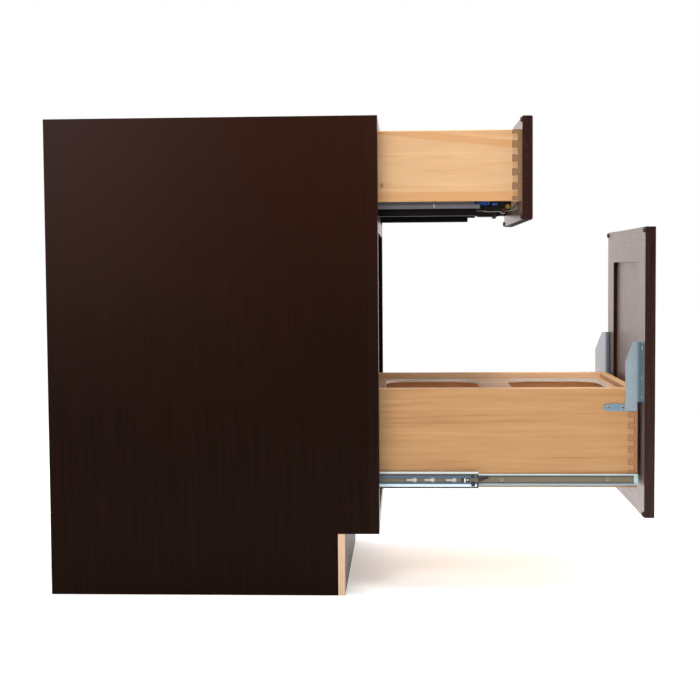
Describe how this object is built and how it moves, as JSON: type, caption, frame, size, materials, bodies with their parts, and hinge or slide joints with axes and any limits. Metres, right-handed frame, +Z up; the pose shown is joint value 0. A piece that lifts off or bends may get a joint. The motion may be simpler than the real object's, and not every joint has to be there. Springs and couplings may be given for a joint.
{
  "type": "base cabinet with pull-out",
  "caption": "Framed base cabinet on a recessed toe kick, with a slab-front drawer above a door-fronted pull-out box whose platform is cut out for waste bins.",
  "frame": {"origin": "on the floor, in the middle of the cabinet's back", "axes": "+Z up, +X to the right of someone facing the front, -Y towards that person; the drawer and the pull-out open along -Y"},
  "size_m": [0.4572, 1.1135, 0.8763],
  "materials": {
    "espresso_panel": "dark stained veneer, satin",
    "espresso_frame": "dark stained solid wood, satin",
    "toe_board": "raw plywood with a stained face",
    "interior_ply": "clear-coated plywood",
    "drawer_wood": "clear-coated light wood",
    "pullout_wood": "clear-coated light wood, honey tone",
    "platform_ply": "clear-coated plywood",
    "zinc_steel": "zinc-plated steel",
    "grey_steel": "grey zinc-plated steel",
    "dark_steel": "dark steel",
    "screw_steel": "zinc-plated screws",
    "ball_cage": "steel balls in a pressed retainer",
    "black_plastic": "moulded black plastic",
    "blue_plastic": "moulded blue plastic",
    "yellow_plastic": "moulded yellow plastic",
    "bumper_rubber": "soft black"
  },
  "bodies": {
    "cabinet": {"side_panel_left": "espresso_panel", "side_panel_right": "espresso_panel", "back_panel": "interior_ply", "deck_panel": "interior_ply", "toe_kick_board": "toe_board", "rear_nailer": "interior_ply", "corner_blocks": "interior_ply", "face_frame_stile_left": "espresso_frame", "face_frame_stile_right": "espresso_frame", "face_frame_top_rail": "espresso_frame", "face_frame_middle_rail": "espresso_frame", "face_frame_bottom_rail": "espresso_frame", "slide_spacer_rails": "interior_ply", "pullout_slide_outer_left": "zinc_steel", "pullout_slide_outer_right": "zinc_steel", "drawer_runner_fixed_left": "grey_steel", "drawer_runner_fixed_right": "grey_steel", "drawer_runner_rear_brackets": "black_plastic", "cabinet_slide_screws": "screw_steel"},
    "drawer": {"drawer_side_left": "drawer_wood", "drawer_side_right": "drawer_wood", "drawer_box_front": "drawer_wood", "drawer_box_back": "drawer_wood", "drawer_bottom": "drawer_wood", "drawer_front": "espresso_frame", "drawer_front_screws": "screw_steel", "drawer_front_bumpers": "bumper_rubber", "drawer_runner_carried_left": "grey_steel", "drawer_runner_carried_right": "grey_steel", "drawer_clips": "black_plastic", "drawer_clip_wheels": "yellow_plastic"},
    "drawer_middle_left": {"drawer_runner_middle_left": "dark_steel"},
    "drawer_middle_right": {"drawer_runner_middle_right": "dark_steel"},
    "runner_lower_balls": {"runner_lower_ball_cages": "ball_cage"},
    "runner_upper_balls": {"runner_upper_ball_cages": "ball_cage"},
    "clip_lever_left": {"drawer_clip_lever_left": "blue_plastic"},
    "clip_lever_right": {"drawer_clip_lever_right": "blue_plastic"},
    "pullout": {"pullout_side_left": "pullout_wood", "pullout_side_right": "pullout_wood", "pullout_front_board": "pullout_wood", "pullout_back_board": "pullout_wood", "pullout_bottom": "pullout_wood", "bin_platform": "platform_ply", "pullout_slide_inner_left": "zinc_steel", "pullout_slide_inner_right": "zinc_steel", "pullout_screws": "screw_steel", "door_bracket_left": "zinc_steel", "door_bracket_right": "zinc_steel", "door_stile_left": "espresso_frame", "door_stile_right": "espresso_frame", "door_top_rail": "espresso_frame", "door_bottom_rail": "espresso_frame", "door_panel": "espresso_frame", "door_bumpers": "bumper_rubber"},
    "pullout_middle_left": {"pullout_slide_middle_left": "zinc_steel"},
    "pullout_middle_right": {"pullout_slide_middle_right": "zinc_steel"},
    "slide_outer_balls": {"slide_outer_ball_cages": "ball_cage"},
    "slide_inner_balls": {"slide_inner_ball_cages": "ball_cage"},
    "release_lever_left": {"pullout_release_lever_left": "black_plastic"},
    "release_lever_right": {"pullout_release_lever_right": "black_plastic"}
  },
  "joints": [
    {"name": "drawer_slide", "type": "slide", "parent": "cabinet", "child": "drawer", "axis": [0, -1, 0], "range_m": [-0.2595, 0.2735]},
    {"name": "drawer_middle_left_slide", "type": "slide", "parent": "cabinet", "child": "drawer_middle_left", "axis": [0, -1, 0], "range_m": [-0.19463, 0.20513]},
    {"name": "drawer_middle_right_slide", "type": "slide", "parent": "cabinet", "child": "drawer_middle_right", "axis": [0, -1, 0], "range_m": [-0.19463, 0.20513]},
    {"name": "runner_lower_balls_slide", "type": "slide", "parent": "cabinet", "child": "runner_lower_balls", "axis": [0, -1, 0], "range_m": [-0.09731, 0.10256]},
    {"name": "runner_upper_balls_slide", "type": "slide", "parent": "cabinet", "child": "runner_upper_balls", "axis": [0, -1, 0], "range_m": [-0.22706, 0.23931]},
    {"name": "pullout_slide", "type": "slide", "parent": "cabinet", "child": "pullout", "axis": [0, -1, 0], "range_m": [-0.4815, 0.0515]},
    {"name": "pullout_middle_left_slide", "type": "slide", "parent": "cabinet", "child": "pullout_middle_left", "axis": [0, -1, 0], "range_m": [-0.1873, 0.02004]},
    {"name": "pullout_middle_right_slide", "type": "slide", "parent": "cabinet", "child": "pullout_middle_right", "axis": [0, -1, 0], "range_m": [-0.1873, 0.02004]},
    {"name": "slide_outer_balls_slide", "type": "slide", "parent": "cabinet", "child": "slide_outer_balls", "axis": [0, -1, 0], "range_m": [-0.09365, 0.01002]},
    {"name": "slide_inner_balls_slide", "type": "slide", "parent": "cabinet", "child": "slide_inner_balls", "axis": [0, -1, 0], "range_m": [-0.3344, 0.03577]},
    {"name": "clip_lever_left_hinge", "type": "hinge", "parent": "drawer", "child": "clip_lever_left", "pos_m": [-0.1236, -0.8125, 0.721], "axis": [1, 0, 0], "range_deg": [0, 14], "stiffness_Nm_per_rad": 0.05, "springref_deg": -2.86},
    {"name": "release_lever_left_hinge", "type": "hinge", "parent": "pullout", "child": "release_lever_left", "pos_m": [-0.1812, -0.7865, 0.2066], "axis": [1, 0, 0], "range_deg": [0, 14], "stiffness_Nm_per_rad": 0.03, "springref_deg": -8.59},
    {"name": "clip_lever_right_hinge", "type": "hinge", "parent": "drawer", "child": "clip_lever_right", "pos_m": [0.1236, -0.8125, 0.721], "axis": [1, 0, 0], "range_deg": [0, 14], "stiffness_Nm_per_rad": 0.05, "springref_deg": -2.86},
    {"name": "release_lever_right_hinge", "type": "hinge", "parent": "pullout", "child": "release_lever_right", "pos_m": [0.1812, -0.7865, 0.2066], "axis": [1, 0, 0], "range_deg": [0, 14], "stiffness_Nm_per_rad": 0.03, "springref_deg": -8.59}
  ],
  "couplings": [
    {"joint": "drawer_middle_left_slide", "follows": "drawer_slide", "ratio": 0.75},
    {"joint": "drawer_middle_right_slide", "follows": "drawer_slide", "ratio": 0.75},
    {"joint": "runner_lower_balls_slide", "follows": "drawer_slide", "ratio": 0.375},
    {"joint": "runner_upper_balls_slide", "follows": "drawer_slide", "ratio": 0.875},
    {"joint": "pullout_middle_left_slide", "follows": "pullout_slide", "ratio": 0.389},
    {"joint": "pullout_middle_right_slide", "follows": "pullout_slide", "ratio": 0.389},
    {"joint": "slide_outer_balls_slide", "follows": "pullout_slide", "ratio": 0.1945},
    {"joint": "slide_inner_balls_slide", "follows": "pullout_slide", "ratio": 0.6945}
  ]
}
